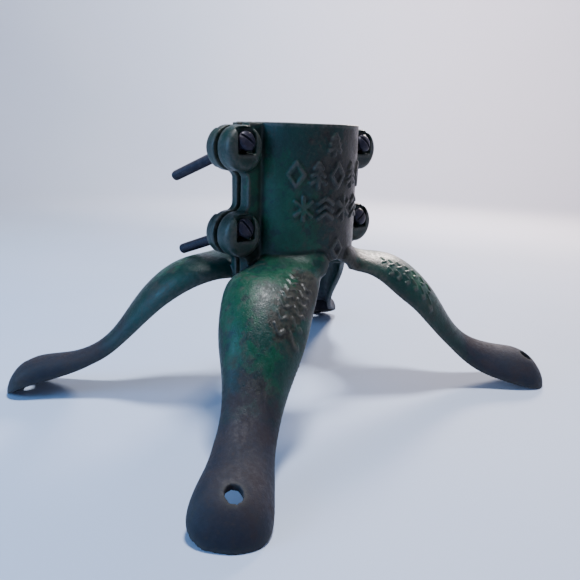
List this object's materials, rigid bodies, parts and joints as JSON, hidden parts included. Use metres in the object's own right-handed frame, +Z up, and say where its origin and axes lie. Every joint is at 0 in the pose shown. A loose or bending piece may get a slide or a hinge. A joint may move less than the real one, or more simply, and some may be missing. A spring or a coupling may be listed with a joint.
{
  "type": "christmas tree stand",
  "caption": "Cast-iron floor stand with splayed cabriole legs and a split collar that clamps round a tree trunk with slotted through-bolts.",
  "frame": {"origin": "on the floor under the axis of the trunk collar", "axes": "+Z up along the collar's axis; the parting plane between the castings is y = 0; the bolts run along Y with their heads on the -Y side; +X is to the right seen from the heads' side"},
  "size_m": [0.3616, 0.2838, 0.2074],
  "materials": {
    "painted_iron": "worn green paint over dark iron, semi-gloss",
    "blackened_steel": "blackened, dull"
  },
  "bodies": {
    "front_casting": {"front_casting": "painted_iron"},
    "rear_casting": {"rear_casting": "painted_iron"},
    "upper_left_bolt": {"upper_left_bolt": "blackened_steel"},
    "upper_left_nut": {"upper_left_nut": "blackened_steel"},
    "upper_right_bolt": {"upper_right_bolt": "blackened_steel"},
    "upper_right_nut": {"upper_right_nut": "blackened_steel"},
    "lower_left_bolt": {"lower_left_bolt": "blackened_steel"},
    "lower_left_nut": {"lower_left_nut": "blackened_steel"},
    "lower_right_bolt": {"lower_right_bolt": "blackened_steel"},
    "lower_right_nut": {"lower_right_nut": "blackened_steel"}
  },
  "joints": [
    {"name": "clamp_opening", "type": "slide", "parent": "front_casting", "child": "rear_casting", "axis": [0, 1, 0], "range_m": [-0.002, 0.006]},
    {"name": "upper_left_bolt_turn", "type": "hinge", "parent": "front_casting", "child": "upper_left_bolt", "pos_m": [-0.061, -0.0134, 0.1943], "axis": [0, 0.9455, -0.3256], "range_deg": [-1629, 550]},
    {"name": "upper_left_nut_travel", "type": "slide", "parent": "front_casting", "child": "upper_left_nut", "axis": [0, 0.9455, -0.3256], "range_m": [-0.0025, 0.007]},
    {"name": "upper_right_bolt_turn", "type": "hinge", "parent": "front_casting", "child": "upper_right_bolt", "pos_m": [0.061, -0.0134, 0.1943], "axis": [0, 0.9455, -0.3256], "range_deg": [-1629, 550]},
    {"name": "upper_right_nut_travel", "type": "slide", "parent": "front_casting", "child": "upper_right_nut", "axis": [0, 0.9455, -0.3256], "range_m": [-0.0025, 0.007]},
    {"name": "lower_left_bolt_turn", "type": "hinge", "parent": "front_casting", "child": "lower_left_bolt", "pos_m": [-0.061, -0.0134, 0.1358], "axis": [0, 0.9455, -0.3256], "range_deg": [-1629, 550]},
    {"name": "lower_left_nut_travel", "type": "slide", "parent": "front_casting", "child": "lower_left_nut", "axis": [0, 0.9455, -0.3256], "range_m": [-0.0025, 0.007]},
    {"name": "lower_right_bolt_turn", "type": "hinge", "parent": "front_casting", "child": "lower_right_bolt", "pos_m": [0.061, -0.0134, 0.1358], "axis": [0, 0.9455, -0.3256], "range_deg": [-1629, 550]},
    {"name": "lower_right_nut_travel", "type": "slide", "parent": "front_casting", "child": "lower_right_nut", "axis": [0, 0.9455, -0.3256], "range_m": [-0.0025, 0.007]}
  ],
  "couplings": [
    {"joint": "upper_left_bolt_turn", "follows": "clamp_opening", "rad_per_m": -4709.2},
    {"joint": "upper_left_nut_travel", "follows": "clamp_opening", "ratio": 1.0576},
    {"joint": "upper_right_bolt_turn", "follows": "clamp_opening", "rad_per_m": -4709.2},
    {"joint": "upper_right_nut_travel", "follows": "clamp_opening", "ratio": 1.0576},
    {"joint": "lower_left_bolt_turn", "follows": "clamp_opening", "rad_per_m": -4709.2},
    {"joint": "lower_left_nut_travel", "follows": "clamp_opening", "ratio": 1.0576},
    {"joint": "lower_right_bolt_turn", "follows": "clamp_opening", "rad_per_m": -4709.2},
    {"joint": "lower_right_nut_travel", "follows": "clamp_opening", "ratio": 1.0576}
  ]
}
